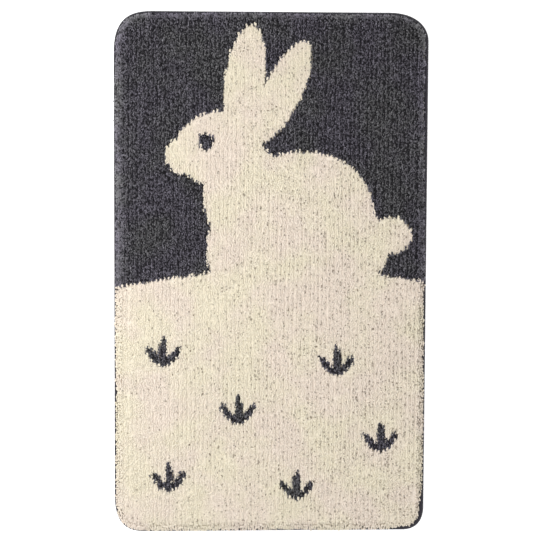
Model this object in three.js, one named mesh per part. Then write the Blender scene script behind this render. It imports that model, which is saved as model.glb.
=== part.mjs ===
// Tufted kids rug, 600 x 1000 mm, lying flat on Z = 0.
// X runs across the rug, Y along it, and Z up out of the pile.
// Two pieces: the tufted panel, and the overcast binding that wraps the panel's rim.
import * as THREE from "three";

// Overall sizes, in mm
const WIDTH = 600;
const LENGTH = 1000;
const GAP = 0.35;

// Tufted pile: rows of tufts run along Y, and each row stands as a low rib
const ROW_PITCH = 7.85;
const ROWS_ON_TOP = 71;
const STATIONS_ALONG = 16;
const PILE_TOP = 16.7;
const RIB_RISE = 0.6;
const LUMP_RISE = 0.6;
const ROW_WANDER = 0.9;
const TOP_INSET = (WIDTH - ROWS_ON_TOP * ROW_PITCH) / 2;

// Rim: spacing of its points on the straight sides, and their count round each corner
const RIM_STEP = 16;
const CORNER_STEPS = 11;
const RIM_UNEVEN = 0.3;
const PILE_UNEVEN = 0.5;

// The four round corners, counterclockwise from the top right one.
// side and end give the corner's place along X and Y, across and along its reach on the two
// sides in mm, and square how full it is (2 is an ellipse).
const CORNERS = [
  { side: 1, end: 1, across: 76, along: 56, square: 2.2 },
  { side: -1, end: 1, across: 80, along: 88, square: 2.9 },
  { side: -1, end: -1, across: 64, along: 80, square: 2.9 },
  { side: 1, end: -1, across: 44, along: 48, square: 2.5 },
];

// The rim all the way round, counterclockwise. turn is in degrees from the middle of the right
// side, with a corner at each odd 45. band is the binding's width in mm, and cover is how far
// the pile leans out over it.
const RIM_TABLE = [
  { turn: 0, band: 8, cover: 6 },
  { turn: 22, band: 8, cover: 6 },
  { turn: 30, band: 8, cover: 4.5 },
  { turn: 34, band: 8, cover: 1.5 },
  { turn: 46, band: 8, cover: 3 },
  { turn: 52, band: 8, cover: 6.5 },
  { turn: 60, band: 8, cover: 7.2 },
  { turn: 128, band: 8, cover: 7.2 },
  { turn: 138, band: 8, cover: 5.8 },
  { turn: 176, band: 8, cover: 5.6 },
  { turn: 190, band: 8, cover: 6 },
  { turn: 226, band: 8, cover: 6 },
  { turn: 234, band: 8, cover: 7.2 },
  { turn: 300, band: 8, cover: 7.4 },
  { turn: 306, band: 8, cover: 6 },
  { turn: 311, band: 9.5, cover: 1.5 },
  { turn: 319, band: 9.5, cover: 1.5 },
  { turn: 325, band: 8, cover: 5.2 },
  { turn: 340, band: 8, cover: 5.8 },
  { turn: 360, band: 8, cover: 6 },
];

// Side wall of the pile, from the floor up. cover is the share of the local lean, out is added
// to it in mm, and up is the height in mm.
const PILE_WALL = [
  { cover: 0, out: 0, up: 0 },
  { cover: 0, out: 0, up: 8.0 },
  { cover: 0.85, out: 0.4, up: 8.8 },
  { cover: 1, out: 0.6, up: 12.2 },
  { cover: 1, out: -2.6, up: 15.6 },
];

// Section of the binding, round from its inner foot. share runs from its inner side at 0 to
// its outer side at 1, and up is the height in mm.
const BINDING_SECTION = [
  { share: 0, up: 0 },
  { share: 0.94, up: 0 },
  { share: 1, up: 2.4 },
  { share: 0.93, up: 5.4 },
  { share: 0.7, up: 7.2 },
  { share: 0.3, up: 7.5 },
  { share: 0, up: 6.6 },
];

const FULL_TURN = 2 * Math.PI;

// Places on the rim

// One place on a round corner: it gives the point at any inset from the outer edge
function cornerPlace(corner, lean) {
  const acrossShare = Math.cos(lean) ** (2 / corner.square);
  const alongShare = Math.sin(lean) ** (2 / corner.square);
  return (inset) => [
    corner.side * (WIDTH / 2 - corner.across + (corner.across - inset) * acrossShare),
    corner.end * (LENGTH / 2 - corner.along + (corner.along - inset) * alongShare),
  ];
}

// One place on the straight side between two corners
function sidePlace(from, to, share) {
  if (from.side === to.side) {
    const start = from.end * (LENGTH / 2 - from.along);
    const stop = to.end * (LENGTH / 2 - to.along);
    const y = start + (stop - start) * share;
    return (inset) => [from.side * (WIDTH / 2 - inset), y];
  }
  const start = from.side * (WIDTH / 2 - from.across);
  const stop = to.side * (WIDTH / 2 - to.across);
  const x = start + (stop - start) * share;
  return (inset) => [x, from.end * (LENGTH / 2 - inset)];
}

function rimPlaces() {
  const places = [];
  CORNERS.forEach((corner, number) => {
    const startsOnSide = corner.side === corner.end;
    for (let step = 0; step <= CORNER_STEPS; step += 1) {
      const share = startsOnSide ? step / CORNER_STEPS : 1 - step / CORNER_STEPS;
      places.push(cornerPlace(corner, (share * Math.PI) / 2));
    }
    const next = CORNERS[(number + 1) % CORNERS.length];
    const run = corner.side === next.side
      ? LENGTH - corner.along - next.along
      : WIDTH - corner.across - next.across;
    const steps = Math.round(run / RIM_STEP);
    for (let step = 1; step < steps; step += 1) {
      places.push(sidePlace(corner, next, step / steps));
    }
  });
  return places;
}

const RIM = rimPlaces();

// Angle of a point round the rug, with the corners of the 600 x 1000 rectangle at odd 45s
function turnOf(x, y) {
  return (Math.atan2(y / LENGTH, x / WIDTH) + FULL_TURN) % FULL_TURN;
}

function fromRimTable(column, turn) {
  const degrees = THREE.MathUtils.radToDeg(turn);
  const after = RIM_TABLE.findIndex((row) => row.turn > degrees);
  const low = RIM_TABLE[after - 1];
  const high = RIM_TABLE[after];
  const share = (degrees - low.turn) / (high.turn - low.turn);
  return low[column] + (high[column] - low[column]) * share;
}

// Slow and quick waves of the edge: whole numbers of waves, so that the rim closes
function rimWave(number) {
  const share = (FULL_TURN * number) / RIM.length;
  return RIM_UNEVEN * (Math.sin(5 * share) + 0.5 * Math.sin(17 * share + 1.3));
}

function pileWave(number) {
  const share = (FULL_TURN * number) / RIM.length;
  return PILE_UNEVEN * (Math.sin(41 * share) + 0.7 * Math.sin(67 * share + 0.6));
}

// A closed loop round the rug, with its own inset at each place
function rimLoop(insetAt, heightAt) {
  return RIM.map((place, number) => {
    const [outerX, outerY] = place(0);
    const turn = turnOf(outerX, outerY);
    const [x, y] = place(insetAt(turn) + rimWave(number));
    return [x, y, heightAt(number)];
  });
}

// A body is a list of points and a list of triangles

class Body {
  constructor() {
    this.points = [];
    this.triangles = [];
  }

  addLoop(loop) {
    const first = this.points.length;
    this.points.push(...loop);
    return loop.map((point, number) => first + number);
  }

  // A strip of faces from a lower loop up to another with as many points
  addStrip(lower, upper) {
    lower.forEach((point, number) => {
      const next = (number + 1) % lower.length;
      this.triangles.push([point, lower[next], upper[next]]);
      this.triangles.push([point, upper[next], upper[number]]);
    });
  }

  // Faces between two loops with different counts: the one that lags in turn steps on
  addStitch(outer, inner) {
    const turnAt = (loop, step) => {
      const [x, y] = this.points[loop[step % loop.length]];
      return turnOf(x, y) + (step >= loop.length ? FULL_TURN : 0);
    };
    let outerStep = 0;
    let innerStep = 0;
    while (outerStep < outer.length || innerStep < inner.length) {
      const outerPoint = outer[outerStep % outer.length];
      const innerPoint = inner[innerStep % inner.length];
      const outerNext = outerStep < outer.length ? turnAt(outer, outerStep + 1) : Infinity;
      const innerNext = innerStep < inner.length ? turnAt(inner, innerStep + 1) : Infinity;
      if (outerNext <= innerNext) {
        outerStep += 1;
        this.triangles.push([outerPoint, outer[outerStep % outer.length], innerPoint]);
      } else {
        innerStep += 1;
        this.triangles.push([outerPoint, inner[innerStep % inner.length], innerPoint]);
      }
    }
  }

  // A flat face that closes a loop from below
  addFoot(loop) {
    const outline = loop.map((point) => {
      const [x, y] = this.points[point];
      return new THREE.Vector2(x, y);
    });
    THREE.ShapeUtils.triangulateShape(outline, []).forEach(([a, b, c]) => {
      this.triangles.push([loop[a], loop[c], loop[b]]);
    });
  }

  toMesh(name, color) {
    const geometry = new THREE.BufferGeometry();
    geometry.setAttribute("position", new THREE.Float32BufferAttribute(this.points.flat(), 3));
    geometry.setIndex(this.triangles.flat());
    geometry.computeVertexNormals();
    const material = new THREE.MeshStandardMaterial({ color, roughness: 0.95 });
    const mesh = new THREE.Mesh(geometry, material);
    mesh.name = name;
    return mesh;
  }
}

// Start a loop at its first point past the middle of the right side
function startAtRight(body, loop) {
  const turns = loop.map((point) => turnOf(body.points[point][0], body.points[point][1]));
  const start = turns.indexOf(Math.min(...turns));
  return [...loop.slice(start), ...loop.slice(0, start)];
}

// Top of the pile

// How far a rounded corner has cut a line at x back from the end of the rug
function cornerCut(x, end) {
  const corner = CORNERS.find((row) => row.end === end && row.side === (x < 0 ? -1 : 1));
  const across = corner.across - TOP_INSET;
  const past = Math.abs(x) - (WIDTH / 2 - corner.across);
  if (past <= 0) {
    return 0;
  }
  const share = Math.min(past / across, 1);
  const left = (1 - share ** corner.square) ** (1 / corner.square);
  return (corner.along - TOP_INSET) * (1 - left);
}

function wander(line, y) {
  return ROW_WANDER * (Math.sin(y / 130 + line * 0.09) + 0.4 * Math.sin(y / 41 + line * 0.23));
}

function lump(x, y) {
  const broad = Math.sin(x / 37 + 1.1 * Math.sin(y / 83)) * Math.sin(y / 52 + 0.8);
  const small = Math.sin(x / 19 + y / 31) * Math.sin(y / 23 - x / 44);
  return LUMP_RISE * (0.6 * broad + 0.4 * small);
}

// A grid of lines along the rows: the odd ones are crests, the even ones the dips between rows
function topGrid() {
  const lines = [];
  const count = 2 * ROWS_ON_TOP;
  for (let line = 0; line <= count; line += 1) {
    const x = (line - count / 2) * (ROW_PITCH / 2);
    const low = -(LENGTH / 2 - TOP_INSET - cornerCut(x, -1));
    const high = LENGTH / 2 - TOP_INSET - cornerCut(x, 1);
    const rib = line % 2 === 1 ? RIB_RISE : -RIB_RISE;
    const stations = [];
    for (let station = 0; station <= STATIONS_ALONG; station += 1) {
      const y = low + ((high - low) * station) / STATIONS_ALONG;
      const z = PILE_TOP + rib + lump(x, y);
      stations.push([x + wander(line, y), y, z]);
    }
    lines.push(stations);
  }
  return lines;
}

function tuftedPile() {
  const body = new Body();
  const panelInset = (turn) => fromRimTable("band", turn) + GAP;
  const walls = PILE_WALL.map((row) => body.addLoop(rimLoop(
    (turn) => panelInset(turn) - row.cover * fromRimTable("cover", turn) - row.out,
    () => row.up,
  )));
  // Above the lip the rim of the pile is uneven, tuft by tuft
  walls.slice(3).flat().forEach((point, number) => {
    const wave = pileWave(number % RIM.length);
    const [x, y, z] = body.points[point];
    body.points[point] = [x * (1 + wave / WIDTH), y * (1 + wave / LENGTH), z + 0.5 * wave];
  });
  body.addFoot(walls[0]);
  for (let wall = 1; wall < walls.length; wall += 1) {
    body.addStrip(walls[wall - 1], walls[wall]);
  }

  const grid = topGrid().map((stations) => body.addLoop(stations));
  for (let line = 1; line < grid.length; line += 1) {
    for (let station = 1; station <= STATIONS_ALONG; station += 1) {
      const near = grid[line - 1];
      const far = grid[line];
      body.triangles.push([near[station - 1], far[station - 1], far[station]]);
      body.triangles.push([near[station - 1], far[station], near[station]]);
    }
  }
  const last = grid.length - 1;
  const edge = [
    ...grid.map((stations) => stations[0]),
    ...grid[last].slice(1),
    ...grid.slice(0, last).reverse().map((stations) => stations[STATIONS_ALONG]),
    ...grid[0].slice(1, STATIONS_ALONG).reverse(),
  ];
  const shoulder = walls[walls.length - 1];
  body.addStitch(startAtRight(body, shoulder), startAtRight(body, edge));
  return body.toMesh("tufted_pile", 0xe4d8c6);
}

// Overcast binding

function edgeBinding() {
  const body = new Body();
  const loops = BINDING_SECTION.map((row) => body.addLoop(rimLoop(
    (turn) => fromRimTable("band", turn) * (1 - row.share),
    () => row.up,
  )));
  loops.forEach((loop, number) => {
    body.addStrip(loop, loops[(number + 1) % loops.length]);
  });
  return body.toMesh("edge_binding", 0x4a474d);
}

const group = new THREE.Group();
group.name = "kids_rug";
group.add(tuftedPile());
group.add(edgeBinding());

export default group;
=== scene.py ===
# %% [markdown]
# # A tufted kids rug, dressed in Blender
#
# The CAD model gives the rug as two plain solids: a flat tufted panel and the binding round
# its rim. In this lesson we dress them. We plant about 16,500 tufts of yarn in rows, wind
# the binding's thread round the rim, and light the rug from above, as in a shop photo.

import math

import bpy
import numpy as np
from mathutils import Matrix


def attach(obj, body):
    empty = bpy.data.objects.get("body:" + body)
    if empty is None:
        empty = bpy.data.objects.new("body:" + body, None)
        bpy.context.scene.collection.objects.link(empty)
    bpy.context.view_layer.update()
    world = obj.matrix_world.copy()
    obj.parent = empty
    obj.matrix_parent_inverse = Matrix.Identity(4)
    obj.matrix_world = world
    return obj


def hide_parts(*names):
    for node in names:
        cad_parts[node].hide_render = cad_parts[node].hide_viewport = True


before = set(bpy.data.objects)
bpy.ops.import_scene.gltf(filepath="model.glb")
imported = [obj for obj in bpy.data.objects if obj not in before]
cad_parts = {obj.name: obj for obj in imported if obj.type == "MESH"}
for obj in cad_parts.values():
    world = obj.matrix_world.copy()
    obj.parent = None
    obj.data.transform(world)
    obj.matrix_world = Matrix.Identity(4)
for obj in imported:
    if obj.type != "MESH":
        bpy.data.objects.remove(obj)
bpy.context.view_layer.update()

# %% [markdown]
# ## Sizes
# All sizes below are in millimetres, because that is how a rug maker talks, and `MM` turns
# them into Blender's metres. The rug is 600 x 1000 mm. A tufting machine sets its needles
# 5/16 inch apart, so the rows of tufts lie a little under 8 mm from each other.

# %% sizes
MM = 0.001
WIDTH, LENGTH = 600.0, 1000.0
ROW_PITCH = 7.85
STITCH_PITCH = 4.6
BACKING_THICK = 2.4
BED_TOP = 14.0
PILE_TOP = 17.0

# The seam between the pile and the binding
GAP = 0.35

# The four round corners: side along X, end along Y, reach across, reach along, squareness
CORNERS = [
    (1, 1, 76.0, 56.0, 2.2),
    (-1, 1, 80.0, 88.0, 2.9),
    (-1, -1, 64.0, 80.0, 2.9),
    (1, -1, 44.0, 48.0, 2.5),
]

# Round the rim, in degrees from the middle of the right side: the binding's width, and how
# far the pile leans out over it
RIM_TURN = [0, 12, 30, 34, 46, 52, 60, 128, 138, 176,
            190, 226, 234, 300, 306, 308.5, 311, 316.5, 319, 325, 340, 360]
RIM_BAND = [8, 8, 8, 8, 8, 8, 8, 8, 8, 8,
            8, 8, 8, 8, 8, 8.75, 9.5, 9.5, 9.5, 8, 8, 8]
RIM_COVER = [6.0, 4.2, 3.2, 1.5, 2.2, 6.0, 7.2, 7.2, 5.8, 5.6,
             6.0, 6.0, 7.2, 7.4, 6.4, 6.2, 2.6, 1.5, 7.4, 6.6, 6.0, 6.0]

rng = np.random.default_rng(20)
rows_across = int((WIDTH - 2 * min(RIM_BAND)) / ROW_PITCH)
print("rows of tufts across the rug:", rows_across)

# %% [markdown]
# ## Four small helpers
# `linear` turns a colour picked as hex in any paint program into the linear values that
# Cycles works with. `node` adds one shader node with its settings and links, so that a
# material reads as a short list. `make_mesh` turns arrays of points and faces into an object
# and fixes it to the rug's body, so that it goes wherever the CAD part goes. `store_tone` keeps
# one number on each point of a piece, which its material can read.

# %% helpers
def linear(hex_colour):
    values = [int(hex_colour[place:place + 2], 16) / 255 for place in (0, 2, 4)]
    return [v / 12.92 if v <= 0.04045 else ((v + 0.055) / 1.055) ** 2.4 for v in values] + [1.0]


def node(tree, kind, settings, links):
    made = tree.nodes.new(kind)
    for key, value in settings.items():
        if isinstance(key, str) and hasattr(made, key):
            setattr(made, key, value)
        else:
            made.inputs[key].default_value = value
    for key, source in links.items():
        tree.links.new(source, made.inputs[key])
    return made


def make_mesh(name, points, faces, materials, face_material=None):
    mesh = bpy.data.meshes.new(name)
    corners = faces.shape[1]
    mesh.vertices.add(len(points))
    mesh.vertices.foreach_set("co", (points * MM).ravel())
    mesh.loops.add(faces.size)
    mesh.loops.foreach_set("vertex_index", faces.ravel().astype(np.int32))
    mesh.polygons.add(len(faces))
    mesh.polygons.foreach_set("loop_start", np.arange(0, faces.size, corners, dtype=np.int32))
    for material in materials:
        mesh.materials.append(material)
    if face_material is not None:
        mesh.polygons.foreach_set("material_index", face_material.astype(np.int32))
    mesh.update(calc_edges=True)
    mesh.shade_smooth()
    piece = bpy.data.objects.new(name, mesh)
    bpy.context.scene.collection.objects.link(piece)
    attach(piece, "root")
    print(name, "has", len(points), "points and", len(faces) * (corners - 2), "triangles")
    return piece


def store_tone(piece, tones):
    stored = piece.data.attributes.new("yarn_tone_and_painted_light", "FLOAT", "POINT")
    stored.data.foreach_set("value", tones.astype(np.float32))


# %% [markdown]
# ## Where the rim runs
# The rug's corners are rounded, each a little differently. `inside` tells which points lie
# within the outline once it is drawn in by some inset. `rim_value` reads the tables above at
# a point's direction from the centre. `rim_line` walks round the outer edge in even steps
# and also gives the direction that points straight out of the rug at each step. All three
# work on whole arrays, so thousands of tufts cost no more lines than one.

# %% the rim
CORNER_POINTS = 200


def inside(x, y, inset):
    within = (np.abs(x) <= WIDTH / 2 - inset) & (np.abs(y) <= LENGTH / 2 - inset)
    for side, end, across, along, square in CORNERS:
        past_x = (side * x - (WIDTH / 2 - across)) / (across - inset)
        past_y = (end * y - (LENGTH / 2 - along)) / (along - inset)
        reach = np.maximum(past_x, 0) ** square + np.maximum(past_y, 0) ** square
        within &= ~((past_x > 0) & (past_y > 0) & (reach > 1))
    return within


def rim_value(column, x, y):
    turn = np.degrees(np.arctan2(y / LENGTH, x / WIDTH)) % 360
    return np.interp(turn, RIM_TURN, column)


def rim_line(count):
    corners = []
    for side, end, across, along, square in CORNERS:
        lean = np.linspace(0, math.pi / 2, CORNER_POINTS)
        lean = lean if side == end else lean[::-1]
        x = side * (WIDTH / 2 - across + across * np.abs(np.cos(lean)) ** (2 / square))
        y = end * (LENGTH / 2 - along + along * np.abs(np.sin(lean)) ** (2 / square))
        corners.append(np.stack([x, y], axis=1))
    rough = np.concatenate(corners + [corners[0][:1]])
    steps = np.linalg.norm(np.diff(rough, axis=0), axis=1)
    walked = np.concatenate([[0], np.cumsum(steps)])
    places = np.linspace(0, walked[-1], count, endpoint=False)
    line = np.stack([np.interp(places, walked, rough[:, axis]) for axis in (0, 1)], axis=1)
    ahead = np.roll(line, -2, axis=0) - np.roll(line, 2, axis=0)
    outward = np.stack([ahead[:, 1], -ahead[:, 0]], axis=1)
    outward /= np.linalg.norm(outward, axis=1, keepdims=True)
    return line, outward, walked[-1]


# %% [markdown]
# ## The picture
# A tufter changes yarn one tuft at a time, so a picture in a rug is only a yes or no for
# each tuft: charcoal or cream. We describe ours with a hill, a handful of ovals for a
# sitting rabbit, and some small sprigs. Every tuft asks the question at its own root, so the
# colour edges come out ragged by one tuft. A later step draws them out into teeth.

# %% which tufts are charcoal
HILL_MIDDLE, HILL_TOP = 30.0, 12.0
HILL_SWELL, HILL_SPREAD = 38.0, 210.0

# Ovals of the rabbit: centre x and y, half width, half height, turn in degrees
RABBIT = [
    (48, 108, 150, 124, 18),
    (122, 52, 106, 88, 0),
    (-40, 132, 86, 124, 16),
    (-102, 242, 84, 68, 12),
    (-156, 228, 46, 38, 0),
    (-52, 366, 38, 108, -8),
    (20, 346, 36, 108, -26),
    (232, 74, 38, 36, 0),
    (-84, 40, 38, 80, 4),
    (54, 0, 150, 40, 0),
]
EYE = (-124, 254, 14, 16, 0)

# Roots of the sprigs, and the three leaves of each as ovals round its root
SPRIGS = [(-205, -150), (128, -168), (-62, -262), (214, -318), (-196, -392), (52, -410)]
LEAVES = [(0, 0, 8, 30, 0), (-19, -8, 7, 22, 38), (19, -8, 7, 22, -38)]


def in_oval(x, y, oval):
    centre_x, centre_y, half_width, half_height, turn = oval
    lean = math.radians(turn)
    along = (x - centre_x) * math.cos(lean) + (y - centre_y) * math.sin(lean)
    across = (y - centre_y) * math.cos(lean) - (x - centre_x) * math.sin(lean)
    return (along / half_width) ** 2 + (across / half_height) ** 2 <= 1


def is_charcoal(x, y):
    cream = y < HILL_TOP + HILL_SWELL * (np.cos((x - HILL_MIDDLE) / HILL_SPREAD) - 1)
    for oval in RABBIT:
        cream |= in_oval(x, y, oval)
    charcoal = ~cream | in_oval(x, y, EYE)
    for sprig_x, sprig_y in SPRIGS:
        for leaf_x, leaf_y, *leaf in LEAVES:
            charcoal |= in_oval(x, y, (sprig_x + leaf_x, sprig_y + leaf_y, *leaf))
    return charcoal


# %% [markdown]
# ## Yarns and their finishes
# Both pile yarns are bulky spun fibre, which is soft and quite matt: roughness is high, and
# a little sheen stands for the fuzz of fine fibres that catches light at a slant. No two
# yarn ends take dye alike, so each carries its own tone, a number from 0 to 1 stored on its
# points, which runs from the yarn's dark colour to its light one. That same number also
# carries painted light and painted shade, set further down. Broad, faint patches shift the
# colour a little, as brushing by feet does. The fine noise and bump are the crimp of the
# fibres, a millimetre or two long. The binding is a harder, smoother thread.

# %% yarn materials
FIBRE_SIZE = 1.4
FIBRE_DEPTH = 0.6
FIBRE_SHARE = 0.7
CRIMP_STRENGTH = 0.6
PATCH_SIZE = 85.0
PATCH_FROM, PATCH_TO = 0.4, 0.6
SHADE_FROM, SHADE_TO = 0.35, 1.25
YARN_ROUGHNESS, SHEEN_ROUGHNESS = 0.88, 0.5


def yarn(name, dark_hex, light_hex, tints, gloss, sheen):
    material = bpy.data.materials.new(name)
    material.use_nodes = True
    tree = material.node_tree
    tree.nodes.clear()
    place = node(tree, "ShaderNodeTexCoord", {}, {}).outputs["Object"]
    # The tone holds the yarn's random dye tone together with painted light and painted shade
    tone = node(tree, "ShaderNodeAttribute", {"attribute_name": "yarn_tone_and_painted_light"}, {})
    fibre = node(tree, "ShaderNodeTexNoise", {"Scale": 1 / (FIBRE_SIZE * MM), "Detail": 3.0},
                 {"Vector": place})
    patch = node(tree, "ShaderNodeTexNoise", {"Scale": 1 / (PATCH_SIZE * MM), "Detail": 3.0},
                 {"Vector": place})
    both = node(tree, "ShaderNodeMath", {"operation": "MULTIPLY_ADD", 1: FIBRE_SHARE},
                {0: fibre.outputs["Fac"], 2: tone.outputs["Fac"]})
    shade = node(tree, "ShaderNodeMapRange", {"From Min": SHADE_FROM, "From Max": SHADE_TO},
                 {"Value": both.outputs["Value"]})
    spun = node(tree, "ShaderNodeMix", {"data_type": "RGBA", 6: linear(dark_hex),
                                        7: linear(light_hex)},
                {0: shade.outputs["Result"]})
    spread = node(tree, "ShaderNodeMapRange", {"From Min": PATCH_FROM, "From Max": PATCH_TO},
                  {"Value": patch.outputs["Fac"]})
    tint = node(tree, "ShaderNodeMix", {"data_type": "RGBA", 6: linear(tints[0]),
                                        7: linear(tints[1])},
                {0: spread.outputs["Result"]})
    brushed = node(tree, "ShaderNodeMix", {"data_type": "RGBA", "blend_type": "MULTIPLY",
                                           0: 1.0},
                   {6: spun.outputs[2], 7: tint.outputs[2]})
    crimp = node(tree, "ShaderNodeBump",
                 {"Strength": CRIMP_STRENGTH, "Distance": FIBRE_DEPTH * MM},
                 {"Height": fibre.outputs["Fac"]})
    surface = node(tree, "ShaderNodeBsdfPrincipled",
                   {"Roughness": YARN_ROUGHNESS, "Specular IOR Level": gloss,
                    "Sheen Weight": sheen, "Sheen Roughness": SHEEN_ROUGHNESS},
                   {"Base Color": brushed.outputs[2], "Normal": crimp.outputs["Normal"]})
    node(tree, "ShaderNodeOutputMaterial", {}, {"Surface": surface.outputs["BSDF"]})
    return material


cream_yarn = yarn("cream_pile_yarn", "5E4F38", "E5DDD0", ("FFFFF7", "FFFBFB"), 0.25, 0.15)
charcoal_yarn = yarn("charcoal_pile_yarn", "0C0A0E", "908E92", ("F2F4F2", "F2EEFC"), 0.1, 0.04)
binding_yarn = yarn("charcoal_binding_yarn", "17161A", "4D4B51", ("F6F7F6", "F4F1F8"), 0.2, 0.1)

# %% [markdown]
# ## The backing cloth
# The tufts are stitched through a woven backing, and a thin coat of latex locks them from
# below. From above it never shows, but a shopper flips a rug over to look. Two wave textures,
# one across and one along, make the plain weave, with four threads to the centimetre. We lift
# it with bump, because the threads are only a third of a millimetre thick.

# %% backing material
THREAD_PITCH = 2.5
THREAD_RISE = 0.35
COAT_PATCH = 30.0

# At scale 1, Blender's wave texture has 20 bands in 2 pi metres
WAVE_SCALE = 2 * math.pi / (20 * THREAD_PITCH * MM)

backing_cloth = bpy.data.materials.new("woven_backing_with_latex")
backing_cloth.use_nodes = True
tree = backing_cloth.node_tree
tree.nodes.clear()
place = node(tree, "ShaderNodeTexCoord", {}, {}).outputs["Object"]
across = node(tree, "ShaderNodeTexWave", {"bands_direction": "X", "Scale": WAVE_SCALE},
              {"Vector": place})
along = node(tree, "ShaderNodeTexWave", {"bands_direction": "Y", "Scale": WAVE_SCALE},
             {"Vector": place})
weave = node(tree, "ShaderNodeMath", {"operation": "MAXIMUM"},
             {0: across.outputs["Fac"], 1: along.outputs["Fac"]})
coat = node(tree, "ShaderNodeTexNoise", {"Scale": 1 / (COAT_PATCH * MM), "Detail": 5.0},
            {"Vector": place})
coat_colour = node(tree, "ShaderNodeMix", {"data_type": "RGBA", 6: linear("BDB09A"),
                                           7: linear("D8CDB8")}, {0: coat.outputs["Fac"]})
thread_colour = node(tree, "ShaderNodeMix", {"data_type": "RGBA", 6: linear("A89B84")},
                     {0: weave.outputs["Value"], 7: coat_colour.outputs[2]})
lift = node(tree, "ShaderNodeBump", {"Strength": 0.8, "Distance": THREAD_RISE * MM},
            {"Height": weave.outputs["Value"]})
surface = node(tree, "ShaderNodeBsdfPrincipled", {"Roughness": 0.8, "Specular IOR Level": 0.3},
               {"Base Color": thread_colour.outputs[2], "Normal": lift.outputs["Normal"]})
node(tree, "ShaderNodeOutputMaterial", {}, {"Surface": surface.outputs["BSDF"]})

# %% [markdown]
# ## Loops and lids
# The backing and the binding are both built from loops round the rug. `strip` joins loops
# into a skin of triangles, with one point in each loop for each step of the rim line. `lid`
# closes a loop with a fan of triangles that meet at one centre point.

# %% skins and lids
def strip(loop_count, step_count, closed):
    step = np.arange(step_count)
    after = (step + 1) % step_count
    faces = []
    for low in range(loop_count if closed else loop_count - 1):
        low_start = low * step_count
        high_start = (low + 1) % loop_count * step_count
        faces.append(np.stack([low_start + step, low_start + after, high_start + after], axis=1))
        faces.append(np.stack([low_start + step, high_start + after, high_start + step], axis=1))
    return np.concatenate(faces)


def lid(loop, centre, looks_up):
    after = np.roll(loop, -1)
    middle = np.full(len(loop), centre)
    return np.stack([loop, after, middle] if looks_up else [after, loop, middle], axis=1)


# %% [markdown]
# The backing is a flat slab, 2.4 mm thick, that ends just short of the binding. Its four
# loops go up its rim, with a small rounding at the top and bottom edge.

# %% the backing
BACKING_STEPS = 480
ROUNDING = 0.4

rim, outward, rim_length = rim_line(BACKING_STEPS)
band = rim_value(RIM_BAND, rim[:, 0], rim[:, 1])
loops = [
    np.column_stack([rim - outward * (band + GAP + draw_in)[:, None], np.full(len(rim), up)])
    for draw_in, up in [(ROUNDING, 0.0), (0.0, ROUNDING), (0.0, BACKING_THICK - ROUNDING),
                        (ROUNDING, BACKING_THICK)]
]
centres = [(0, 0, 0), (0, 0, BACKING_THICK)]
low_loop = np.arange(BACKING_STEPS)
high_loop = low_loop + 3 * BACKING_STEPS
low_centre = 4 * BACKING_STEPS
backing_faces = np.concatenate([
    strip(4, BACKING_STEPS, False),
    lid(low_loop, low_centre, False),
    lid(high_loop, low_centre + 1, True),
])
backing = make_mesh("woven_backing", np.concatenate([*loops, centres]), backing_faces,
                    [backing_cloth])
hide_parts("tufted_pile")

# %% [markdown]
# ## The bed of the pile
# Lower down, tufts stand so close that they press into one soft bed. Only their last few
# millimetres are free. So we make the bed as one closed body with low ribs, one rib for a
# row, and plant the free yarn ends on it. The rows of a real rug wander by about a
# millimetre, because the cloth gives as the needles pull it, and `row_wander` does the same
# here. The pile's top is not level either, and `pile_swell` lets it rise and fall gently.

# %% how rows wander and how the pile swells
WANDER = 0.9
SWELL = 0.6
TINY = 0.01


def row_wander(row, y):
    line = 2 * row + 71
    return WANDER * (np.sin(y / 130 + line * 0.09) + 0.4 * np.sin(y / 41 + line * 0.23))


def pile_swell(x, y):
    """Broad and small waves, bent across each other so that they don't repeat."""
    broad = np.sin(x / 37 + 1.1 * np.sin(y / 83)) * np.sin(y / 52 + 0.8)
    small = np.sin(x / 19 + y / 31) * np.sin(y / 23 - x / 44)
    return SWELL * (0.6 * broad + 0.4 * small)


def from_rim(x, y, inset):
    """Distance in from the rim that is drawn in by inset, and the direction out of the rug."""
    past_x = np.abs(x) - (WIDTH / 2 - inset)
    past_y = np.abs(y) - (LENGTH / 2 - inset)
    distance = -np.maximum(past_x, past_y)
    by_side = past_x > past_y
    out_x = np.where(by_side, np.sign(x), 0.0)
    out_y = np.where(by_side, 0.0, np.sign(y))
    for side, end, across, along, square in CORNERS:
        from_x = side * x - (WIDTH / 2 - across)
        from_y = end * y - (LENGTH / 2 - along)
        at_corner = (from_x > 0) & (from_y > 0)
        share_x = np.maximum(from_x, TINY) / (across - inset)
        share_y = np.maximum(from_y, TINY) / (along - inset)
        share = (share_x ** square + share_y ** square) ** (1 / square)
        radius = np.hypot(from_x, from_y) + TINY
        distance = np.where(at_corner, radius * (1 / share - 1), distance)
        out_x = np.where(at_corner, side * from_x / radius, out_x)
        out_y = np.where(at_corner, end * from_y / radius, out_y)
    return distance, out_x, out_y


# %% [markdown]
# The bed is a grid of lines along the rows: one on each row, one in each dip between two rows,
# and one along each side. Every line stops where the rounded rim cuts it. A ring of faces
# round the grid goes down to the backing, and a fan of triangles closes the bed from below.
# The cream yarn is a little bulkier, so its bed stands a little higher. Both beds are painted
# a darker tone than the yarn ends on them, painted shade deep in the pile.

# %% the bed
BED_INSET = 10.2
BED_STATIONS = 190
BED_FOOT = BACKING_THICK + 0.1
RIB_UP, RIB_DOWN = 0.3, -0.7
STITCH_RISE = 0.35
STITCH_WAVE = 2.06 * STITCH_PITCH / (2 * math.pi)   # about two stitches long
SHOULDER_DROP, SHOULDER_REACH = 3.6, 12.0
CHARCOAL_BULK, CREAM_BULK = 0.5, 0.7
CHARCOAL_BED_SHADE_TONE, CREAM_BED_SHADE_TONE = 0.05, 0.8
half_rows = int((WIDTH / 2 - BED_INSET) / ROW_PITCH)
line_numbers = np.arange(-2 * half_rows, 2 * half_rows + 1) / 2


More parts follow.
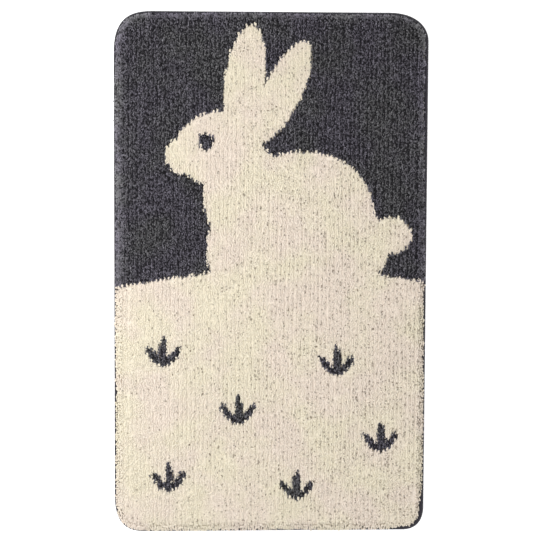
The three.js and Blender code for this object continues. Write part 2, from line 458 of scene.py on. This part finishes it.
def line_ends(x, end):
    """Where the rim, drawn in by the bed's inset, cuts the line at x."""
    reach = np.full_like(x, LENGTH / 2 - BED_INSET)
    for side, corner_end, across, along, square in CORNERS:
        if corner_end != end:
            continue
        past = (side * x - (WIDTH / 2 - across)) / (across - BED_INSET)
        share = np.clip(past, 0, 1)
        cut = (along - BED_INSET) * (1 - (1 - share ** square) ** (1 / square))
        reach = reach - cut
    return end * reach


side_x = WIDTH / 2 - BED_INSET
line_numbers = np.concatenate([[-side_x / ROW_PITCH], line_numbers, [side_x / ROW_PITCH]])
line_x = line_numbers * ROW_PITCH
low_end, high_end = line_ends(line_x, -1), line_ends(line_x, 1)
share = np.linspace(0, 1, BED_STATIONS)[None, :]
bed_y = low_end[:, None] * (1 - share) + high_end[:, None] * share
bed_x = line_x[:, None] + row_wander(line_numbers[:, None], bed_y)
bed_x = np.clip(bed_x, -side_x, side_x)
rib = np.where(line_numbers % 1 == 0, RIB_UP, RIB_DOWN)[:, None]
stitches = STITCH_RISE * np.sin(bed_y / STITCH_WAVE)
rim_distance, _, _ = from_rim(bed_x, bed_y, BED_INSET)
shoulder = SHOULDER_DROP * np.clip(1 - rim_distance / SHOULDER_REACH, 0, 1) ** 2
bed_z = BED_TOP + rib + stitches + pile_swell(bed_x, bed_y) - shoulder
bed_z += np.where(is_charcoal(bed_x, bed_y), CHARCOAL_BULK, CREAM_BULK)

lines, stations = bed_x.shape
number = np.arange(lines * stations).reshape(lines, stations)
near_low, near_high = number[:-1, :-1].ravel(), number[:-1, 1:].ravel()
far_low, far_high = number[1:, :-1].ravel(), number[1:, 1:].ravel()
top_faces = np.concatenate([np.stack([near_low, far_low, far_high], axis=1),
                            np.stack([near_low, far_high, near_high], axis=1)])
edge = np.concatenate([number[:, 0], number[-1, 1:], number[-2::-1, -1], number[0, -2:0:-1]])
top_points = np.stack([bed_x.ravel(), bed_y.ravel(), bed_z.ravel()], axis=1)
foot_points = top_points[edge] * [1, 1, 0] + [0, 0, BED_FOOT]
foot = np.arange(len(edge)) + len(top_points)
bed_points = np.concatenate([top_points, foot_points, [[0, 0, BED_FOOT]]])
wall_faces = np.concatenate([
    np.stack([foot, np.roll(foot, -1), np.roll(edge, -1)], axis=1),
    np.stack([foot, np.roll(edge, -1), edge], axis=1),
])
bed_faces = np.concatenate([top_faces, wall_faces, lid(foot, len(bed_points) - 1, False)])
face_middle = bed_points[bed_faces].mean(axis=1)
bed_charcoal = is_charcoal(face_middle[:, 0], face_middle[:, 1])
pile_bed = make_mesh("pile_bed", bed_points, bed_faces, [cream_yarn, charcoal_yarn],
                     face_material=bed_charcoal)
# Painted shade: the bed, seen only in the gaps between ends, gets a darker tone than the ends
painted_bed_shade = np.where(is_charcoal(bed_points[:, 0], bed_points[:, 1]),
                    CHARCOAL_BED_SHADE_TONE, CREAM_BED_SHADE_TONE)
store_tone(pile_bed, painted_bed_shade)

# %% [markdown]
# ## Planting the tufts
# Each needle of the machine makes one row, and each stroke one tuft. We lay the rows out as
# a table with a line for each tuft, beginning with its root. The needles work in pairs, so
# every second dip between rows is wider, here more and there less.

# %% the roots of the tufts
END_MARGIN = 10.0
STITCH_SLIP, ROW_SLIP = 0.5, 0.3
PAIRS = 60
PAIR_SHIFT, PAIR_SWAY, PAIR_LENGTH = 0.2, 0.25, 27.0
FIELD_INSET = 7.5
half_field = rows_across // 2
row_numbers = np.arange(-half_field, half_field + 1)
stitch_count = int((LENGTH - 2 * END_MARGIN) / STITCH_PITCH)
stitch_numbers = np.arange(stitch_count) - (stitch_count - 1) / 2
row = np.repeat(row_numbers, stitch_count).astype(float)
root_y = np.tile(stitch_numbers, len(row_numbers)) * STITCH_PITCH
root_y += 0.5 * STITCH_PITCH * (row % 2) + rng.normal(0, STITCH_SLIP, len(row))

pair_phases = rng.uniform(0, 2 * math.pi, PAIRS)
pair_phase = pair_phases[((row + half_field + 1) // 2).astype(int)]
sway = PAIR_SHIFT + PAIR_SWAY * np.sin(root_y / PAIR_LENGTH + pair_phase)
pair_shift = np.where(row % 2 == 0, 1, -1) * sway
root_x = row * ROW_PITCH + pair_shift + row_wander(row, root_y)
root_x += rng.normal(0, ROW_SLIP, len(row))
panel_edge = rim_value(RIM_BAND, root_x, root_y) + GAP + FIELD_INSET
planted = inside(root_x, root_y, panel_edge)
root_x, root_y, row = root_x[planted], root_y[planted], row[planted]

# %% [markdown]
# Straight rows would leave a ragged rim at the round corners, so two more rows of tufts follow
# the rim itself. They get row numbers too, past those of the straight rows. From here on, each
# tuft is one place in the arrays `root_x`, `root_y` and `row`.

# %% two rows along the rim
RIM_PITCH = 5.0
RIM_ROWS = [1.4, 5.0]
RIM_SLIP = 0.4
EDGE_INSET = 0.8
LAST_ROW = 99

for further_in in RIM_ROWS:
    rim, outward, rim_length = rim_line(int(rim_length / RIM_PITCH))
    rim_inset = rim_value(RIM_BAND, rim[:, 0], rim[:, 1]) + GAP + further_in
    rim_root = rim - outward * rim_inset[:, None] + rng.normal(0, RIM_SLIP, rim.shape)
    root_x = np.concatenate([root_x, rim_root[:, 0]])
    root_y = np.concatenate([root_y, rim_root[:, 1]])
    row = np.concatenate([row, rng.integers(half_field + 3, LAST_ROW, len(rim_root))])
panel_edge = rim_value(RIM_BAND, root_x, root_y) + GAP + EDGE_INSET
tufts = len(root_x)
charcoal = is_charcoal(root_x, root_y)
print(tufts, "tufts, of which", int(charcoal.sum()), "are charcoal")

# %% [markdown]
# ## How each tuft stands
# Brushing leaves broad drifts in which the pile leans one way. At the rim nothing holds the
# tufts back, so they lean out over the binding, as far as the rim's table says. The fan of a
# tuft's own yarn ends is part of that reach, so we take its spread off first.

# %% lean
RIM_REACH = 30.0
TUFT_SPREAD = 2.6
DRIFT_X, DRIFT_Y = 0.9, 0.8
USUAL_LEAN_X, USUAL_LEAN_Y = -0.8, -0.6
LEAN_SCATTER_X, LEAN_SCATTER_Y = 0.7, 0.5

rim_distance, out_x, out_y = from_rim(root_x, root_y, panel_edge)
cover = rim_value(RIM_COVER, root_x, root_y)
at_rim = np.clip(1 - rim_distance / RIM_REACH, 0, 1)
reach_out = at_rim * (cover + GAP - TUFT_SPREAD)
drift_x = DRIFT_X * np.sin(root_y / 61 + 1.4 * np.sin(root_x / 47)) + USUAL_LEAN_X
drift_y = DRIFT_Y * np.sin(root_x / 53 + 1.2 * np.sin(root_y / 71) + 2) + USUAL_LEAN_Y
lean_x = drift_x + rng.normal(0, LEAN_SCATTER_X, tufts) + out_x * reach_out
lean_y = drift_y + rng.normal(0, LEAN_SCATTER_Y, tufts) + out_y * reach_out

# %% [markdown]
# The tops follow the gentle swell of the pile, with a little chance for each tuft. At the rim
# they drop by 3 mm, which rounds the shoulder of the rug. A few tufts have sunk lower. Towards
# the rim the feet start lower down as well, so that the side of the pile is closed. Within a
# tuft the tips differ too, and those of the charcoal yarn a little more.

# %% height
HEIGHT_SCATTER = 0.3
RIM_DROP, DROP_REACH = 3.2, 9.0
SUNK_SHARE, SUNK_LEAST, SUNK_MOST = 0.03, 0.8, 2.0
LOWEST_FOOT, FOOT_CLIMB = 3.4, 0.9
FOOT_DEPTH = 3.0
CHARCOAL_TIPS, CREAM_TIPS = 0.4, 0.3

top_z = PILE_TOP + pile_swell(root_x, root_y) + rng.normal(0, HEIGHT_SCATTER, tufts)
top_z -= RIM_DROP * np.clip(1 - rim_distance / DROP_REACH, 0, 1) ** 2
sunk = rng.random(tufts) < SUNK_SHARE
top_z -= np.where(sunk, rng.uniform(SUNK_LEAST, SUNK_MOST, tufts), 0)
bottom_z = np.clip(LOWEST_FOOT + FOOT_CLIMB * rim_distance, LOWEST_FOOT, BED_TOP - FOOT_DEPTH)
tip_scatter = np.where(charcoal, CHARCOAL_TIPS, CREAM_TIPS)
print("tufts that have sunk:", int(sunk.sum()))

# %% [markdown]
# ## The tone of each tuft
# Charcoal tufts at the rim are paler, some more than others. On the left rim they get more
# of it, which is painted light: the lamp's light on pile that leans out towards it. In nearly
# every tuft the left column of yarn ends is painted lighter than the right one, painted light
# and shade of each row's lit and shaded side, which draws the rows. Charcoal ends differ more
# from each other in tone than cream ones: besides random tone, this is painted light and
# shade of tips lit against dark gaps.

# %% tones
CHARCOAL_TONE, CREAM_TONE = 0.28, 0.9
CHARCOAL_TONE_AND_LIGHT_SCATTER, CREAM_TONE_AND_LIGHT_SCATTER = 0.18, 0.075
TUFT_SCATTER = 0.03
EDGE_PALENESS, LEFT_PAINTED_LIGHT = 0.5, 0.22
PAINTED_LIGHT_MEAN, PAINTED_LIGHT_SCATTER, CREAM_PAINTED_LIGHT = 0.3, 0.2, 2.2

# Paler at the very rim all round, plus painted light on the left rim, where the lamp falls
rim_paleness_and_painted_light = EDGE_PALENESS * at_rim ** 8 + LEFT_PAINTED_LIGHT * at_rim ** 2 * np.clip(-out_x, 0, 1)
rim_paleness_and_painted_light *= rng.uniform(0, 2, tufts)
tone = np.where(charcoal, CHARCOAL_TONE + rim_paleness_and_painted_light, CREAM_TONE)
tone += rng.normal(0, TUFT_SCATTER, tufts)
# Random tone together with painted highlights and shade of the tips, wider for charcoal
tone_and_painted_light_scatter = np.where(charcoal, CHARCOAL_TONE_AND_LIGHT_SCATTER, CREAM_TONE_AND_LIGHT_SCATTER)
# Painted light and shade: the left column of each tuft lighter, the right one darker, as lit
# from the left
painted_lit_side = rng.normal(PAINTED_LIGHT_MEAN, PAINTED_LIGHT_SCATTER, tufts) * np.where(charcoal, 1, CREAM_PAINTED_LIGHT)
painted_column_light_and_shade = np.stack([painted_lit_side, -painted_lit_side], axis=1)

# %% [markdown]
# Here and there the pile opens on a small dark pit. We give a share of the yarn ends a darker
# tone, painted shade that stands for these pits. There are more of them towards the right of
# the rug, and slightly more in the wider dips. Along a row they come and go, and every row
# does so from a place of its own.

# %% pits
PIT_SHADE_SHARE = 0.13
PIT_COMES, PIT_LENGTH = 0.4, 17.0
PIT_TO_RIGHT = 330.0
PIT_EVEN_ROW, PIT_ODD_ROW = 0.85, 1.05
CHARCOAL_PIT_SHADE, CREAM_PIT_SHADE = 0.15, 0.54

row_phase = rng.uniform(0, 2 * math.pi, LAST_ROW + 1)[row.astype(int)]
pit_shade_share = PIT_SHADE_SHARE * (1 + PIT_COMES * np.sin(root_y / PIT_LENGTH + row_phase))
pit_shade_share *= 1 + root_x / PIT_TO_RIGHT
pit_shade_share *= np.where(row % 2 == 0, PIT_EVEN_ROW, PIT_ODD_ROW)
pit_shade_depth = np.where(charcoal, CHARCOAL_PIT_SHADE, CREAM_PIT_SHADE)

# %% [markdown]
# In places the pile parts: the tufts round a spot lean away from it by a millimetre or so.
# These spots are longer along the rows than across them.

# %% parted spots
PARTED_SPOTS = 90
SPOT_MARGIN = 20.0
SPOT_PUSH, SPOT_REACH = 1.5, 11.0
SPOT_LONG, SPOT_HEART = 0.6, 0.5

spot_x = rng.uniform(-WIDTH / 2 + SPOT_MARGIN, WIDTH / 2 - SPOT_MARGIN, PARTED_SPOTS)
spot_y = rng.uniform(-LENGTH / 2 + SPOT_MARGIN, LENGTH / 2 - SPOT_MARGIN, PARTED_SPOTS)
for x, y in zip(spot_x, spot_y):
    away_x, away_y = root_x - x, (root_y - y) * SPOT_LONG
    distance = np.hypot(away_x, away_y) + SPOT_HEART
    push = SPOT_PUSH * np.clip(1 - distance / SPOT_REACH, 0, 1)
    lean_x += push * away_x / distance
    lean_y += push * away_y / distance

# %% [markdown]
# Where the colour changes along a row, the last tuft before the change leans on over its
# neighbour, stands a little higher, and its yarn ends draw together. Along an edge of the
# picture, these tufts look like the teeth of a comb.

# %% teeth at the colour edges
TOOTH_LEAST, TOOTH_MOST = 1.5, 6.0
TOOTH_RISE = 0.9
TOOTH_SPREAD = 0.45

at_change = is_charcoal(root_x, root_y + STITCH_PITCH) != charcoal
lean_y += np.where(at_change, rng.uniform(TOOTH_LEAST, TOOTH_MOST, tufts), 0)
top_z += np.where(at_change, TOOTH_RISE, 0)
spread = np.where(at_change, TOOTH_SPREAD, 1.0)
print("tufts that make a tooth:", int(at_change.sum()))

# %% [markdown]
# ## From tufts to yarn ends
# Cut a loop of plied yarn and its plies spring apart, so a tuft shows a few blunt ends. We
# give each tuft six, in two columns of three. One yarn end is a four-sided stalk: a foot, a
# ring of four points near the top, and a blunt tip, which makes six points and eight
# triangles. Each point of the ring is pushed about at random, so no two ends look alike. The
# whole field is one array, with the six points of every yarn end side by side, which is far
# quicker than adding objects.

# %% shape of the yarn ends
END_X, END_Y = 1.93, 1.53
ENDS_OF_TUFT = [(x * END_X, y * END_Y) for x in (-1, 1) for y in (-1, 0, 1)]
FOOT_SHARE = 0.6
SCATTER_X, SCATTER_Y = 1.05, 0.8
END_RADIUS = 1.6
END_SLIM, END_LONG = 0.9, 1.25
THIN, THICK = 0.65, 1.3
RING_DROP, RING_SCATTER = -0.15, 0.4
WAIST = [0.8, 0.8, 0.84]
END_TONE_SCATTER = 0.9
SIDES = 4
RING = np.arange(SIDES) * 2 * math.pi / SIDES
UNDER_FACES = np.array([(0, 1 + (k + 1) % SIDES, 1 + k) for k in range(SIDES)])
OVER_FACES = np.array([(1 + k, 1 + (k + 1) % SIDES, 1 + SIDES) for k in range(SIDES)])


def yarn_ends(chosen):
    """Points, faces and tones of the six yarn ends of each chosen tuft."""
    count = len(chosen)
    points, tones = [], []
    for offset_x, offset_y in ENDS_OF_TUFT:
        away_x = spread[chosen] * (offset_x + rng.normal(0, SCATTER_X, count))
        away_y = offset_y + rng.normal(0, SCATTER_Y, count)
        shaded_pit = (rng.random(count) < pit_shade_share[chosen]) & (offset_x > 0)
        foot_at = np.stack([root_x[chosen] + FOOT_SHARE * away_x,
                            root_y[chosen] + FOOT_SHARE * away_y, bottom_z[chosen]], axis=1)
        tip_at = np.stack([
            root_x[chosen] + away_x + lean_x[chosen],
            root_y[chosen] + away_y + lean_y[chosen],
            top_z[chosen] + tip_scatter[chosen] * rng.normal(0, 1, count),
        ], axis=1)
        waist_at = foot_at + (tip_at - foot_at) * WAIST
        turn = rng.uniform(0, math.pi / 2, count)[:, None] + RING
        radius = END_RADIUS * rng.uniform(THIN, THICK, turn.shape)
        circle = np.stack([END_SLIM * np.cos(turn) * radius, END_LONG * np.sin(turn) * radius,
                           rng.normal(RING_DROP, RING_SCATTER, turn.shape)], axis=2)
        points.append(np.concatenate([
            foot_at[:, None], waist_at[:, None] + circle, tip_at[:, None],
        ], axis=1))
        # Painted light or painted shade of this column's lit or shaded side
        painted_side_light_and_shade = painted_column_light_and_shade[chosen, 0 if offset_x < 0 else 1]
        chance = rng.normal(0, END_TONE_SCATTER, count)
        end_tone = tone[chosen] + tone_and_painted_light_scatter[chosen] * (painted_side_light_and_shade + chance)
        # Painted shade: pit ends are darkened
        tones.append(np.clip(end_tone - pit_shade_depth[chosen] * shaded_pit, 0, 1))
    points = np.concatenate(points)
    first = np.arange(len(points))[:, None, None] * (SIDES + 2)
    faces = np.concatenate([(under + first).reshape(-1, 3)
                            for under in (UNDER_FACES[None], OVER_FACES[None])])
    return points.reshape(-1, 3), faces, np.repeat(np.concatenate(tones), SIDES + 2)


# %% [markdown]
# We keep each piece under 200,000 triangles, so that other programs can open it, and give it
# a flat map seen from above for its baked colours. The rug is flat, so that map is enough.

# %% plant the field
MAP_NAME = "OFBake"


def add_flat_map(piece):
    mesh = piece.data
    corner = np.empty(len(mesh.loops), dtype=np.int32)
    mesh.loops.foreach_get("vertex_index", corner)
    place = np.empty(len(mesh.vertices) * 3)
    mesh.vertices.foreach_get("co", place)
    place = place.reshape(-1, 3)[corner] / MM
    low, high = place.min(axis=0), place.max(axis=0)
    flat = (place[:, :2] - low[:2]) / (high[:2] - low[:2])
    flat_map = mesh.uv_layers.new(name=MAP_NAME)
    flat_map.data.foreach_set("uv", flat.ravel().astype(np.float32))


def plant(name, chosen, material):
    points, faces, tones = yarn_ends(chosen)
    piece = make_mesh(name, points, faces, [material])
    store_tone(piece, tones)
    add_flat_map(piece)
    return piece


for colour_name, colour, field_count, chosen in [
    ("cream", cream_yarn, 3, np.flatnonzero(~charcoal)),
    ("charcoal", charcoal_yarn, 2, np.flatnonzero(charcoal)),
]:
    by_length = chosen[np.argsort(root_y[chosen], kind="stable")]
    for part, field in enumerate(np.array_split(by_length, field_count), start=1):
        plant(f"{colour_name}_pile_{part}", field, colour)

# %% [markdown]
# ## The binding
# A serging machine winds yarn over the edge, stitch beside stitch. We build it as one ring,
# and let its skin rise and fall once for each turn of yarn, with four points of the ring for
# each. The turns lie a little slanted, because the yarn moves on as it goes round. Their
# tone rises and falls too: painted shade darkens the grooves between two turns, and painted
# light brightens the ridges.

# %% the binding
TURN_PITCH = 2.3
POINTS_FOR_TURN = 4
TURN_RISE = 0.32
SLANT = 0.12
MIDDLE_SHARE, MIDDLE_UP = 0.5, 3.4
MEAN_TONE, GROOVE_SHADE_RISE = 0.45, 0.4

# Section from the inner foot round to the outer side and back: share of the width from the
# inner side, height in mm, and the share of the yarn's rise that shows there
SECTION = [
    (0.02, 0.25, 0.0), (0.5, 0.0, 0.0), (0.9, 0.25, 0.3), (0.985, 1.6, 1.0),
    (0.99, 3.6, 1.0), (0.92, 5.5, 1.0), (0.74, 6.8, 1.0), (0.5, 7.25, 1.0),
    (0.26, 7.0, 1.0), (0.06, 6.2, 0.6),
]

turns = int(rim_length / TURN_PITCH)
ring_steps = turns * POINTS_FOR_TURN
rim, outward, rim_length = rim_line(ring_steps)
band = rim_value(RIM_BAND, rim[:, 0], rim[:, 1])
loops, ring_groove_shade_and_ridge_light = [], []
for place_number, (across_share, up, shown) in enumerate(SECTION):
    step = np.arange(ring_steps) / POINTS_FOR_TURN + SLANT * place_number
    rise = TURN_RISE * shown * np.sin(2 * math.pi * step)
    draw_in = band * (1 - across_share) - rise * (across_share - MIDDLE_SHARE) * 2
    height = up + rise * np.clip((up - MIDDLE_UP) / MIDDLE_UP, 0, 1)
    loops.append(np.column_stack([rim - outward * draw_in[:, None], height]))
    # Painted shade in the grooves and painted light on the ridges
    ring_groove_shade_and_ridge_light.append(MEAN_TONE + GROOVE_SHADE_RISE * rise / TURN_RISE)
binding = make_mesh("overcast_binding", np.concatenate(loops),
                    strip(len(SECTION), ring_steps, True), [binding_yarn])
store_tone(binding, np.concatenate(ring_groove_shade_and_ridge_light))
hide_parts("edge_binding")
print("turns of binding yarn:", turns)

# %% [markdown]
# ## An unused loop over the corners
# The backing is a sheet of cloth, laid flat. This cell only makes a row of even shares for
# each corner, and nothing reads them.

for _, _, across, along, square in CORNERS:
    share = np.linspace(0, 1, CORNER_POINTS)

# %% [markdown]
# ## Camera
# The photo is taken from almost straight above with a long lens. The rug's sides draw
# together a little towards the bottom and the right, so the camera stands slightly to the
# top left. These numbers, in metres, bring the corners of a 600 x 1000 mm rectangle onto the
# photo's. We build the camera's three axes from them: back along the view, right and up.

# %% camera
LENS, SENSOR = 120, 36
EYE_AT = np.array([-0.17018, 0.29053, 3.44677])
LOOKS_AT = np.array([-0.00122, 0.00766, 0.0])
ROLL = 0.00449

back = (EYE_AT - LOOKS_AT) / np.linalg.norm(EYE_AT - LOOKS_AT)
right = np.cross([0, 1, 0], back)
right /= np.linalg.norm(right)
up = np.cross(back, right)
turned_right = math.cos(ROLL) * right + math.sin(ROLL) * up
turned_up = math.cos(ROLL) * up - math.sin(ROLL) * right

camera_data = bpy.data.cameras.new("camera")
camera_data.lens = LENS
camera_data.sensor_width = SENSOR
camera = bpy.data.objects.new("camera", camera_data)
bpy.context.scene.collection.objects.link(camera)
matrix = np.eye(4)
matrix[:3, :3] = np.column_stack([turned_right, turned_up, back])
matrix[:3, 3] = EYE_AT
camera.matrix_world = Matrix(matrix.tolist())
bpy.context.scene.camera = camera

# %% [markdown]
# ## Floor
# A white floor gives the clean surround of a shop photo. It glows a little of itself, like a
# table lit from below, so the thin shadow beside the rug stays pale. It lies a hair below the
# rug, so that the two never share one plane.

# %% floor
FLOOR_REACH = 6.0
FLOOR_DROP = 0.0002
FLOOR_GLOW = 0.45

floor_mesh = bpy.data.meshes.new("floor")
floor_corners = [(side * FLOOR_REACH, end * FLOOR_REACH, 0)
                 for side, end in [(-1, -1), (1, -1), (1, 1), (-1, 1)]]
floor_mesh.from_pydata(floor_corners, [], [(0, 1, 2, 3)])
floor = bpy.data.objects.new("floor", floor_mesh)
floor.location.z = -FLOOR_DROP
floor_paint = bpy.data.materials.new("white_studio_floor")
floor_paint.use_nodes = True
paint = floor_paint.node_tree.nodes["Principled BSDF"]
paint.inputs["Base Color"].default_value = linear("FAFAFA")
paint.inputs["Roughness"].default_value = 0.9
paint.inputs["Emission Color"].default_value = (1, 1, 1, 1)
paint.inputs["Emission Strength"].default_value = FLOOR_GLOW
floor_mesh.materials.append(floor_paint)
bpy.context.scene.collection.objects.link(floor)

# %% [markdown]
# ## Light
# An even, bright sky fills the whole scene, as white walls do in a studio. One large soft lamp
# from the left makes the left side of the pile a little brighter, and gives each tuft its
# small shadow on the right.

# %% light
SKY_STRENGTH = 1.0
LAMP_POWER, LAMP_SIZE = 18, 1.1
LAMP_AT = (-1.1, 0.2, 1.2)
LAMP_TILT, LAMP_TURN = -43, -10

sky = bpy.data.worlds.new("studio_sky")
sky.use_nodes = True
sky_light = sky.node_tree.nodes["Background"]
sky_light.inputs["Color"].default_value = (1, 1, 1, 1)
sky_light.inputs["Strength"].default_value = SKY_STRENGTH
bpy.context.scene.world = sky

lamp_data = bpy.data.lights.new("soft_lamp", "AREA")
lamp_data.shape = "SQUARE"
lamp_data.size = LAMP_SIZE
lamp_data.energy = LAMP_POWER
lamp = bpy.data.objects.new("soft_lamp", lamp_data)
lamp.location = LAMP_AT
lamp.rotation_euler = (0, math.radians(LAMP_TILT), math.radians(LAMP_TURN))
bpy.context.scene.collection.objects.link(lamp)

bpy.context.scene.view_settings.view_transform = "Standard"
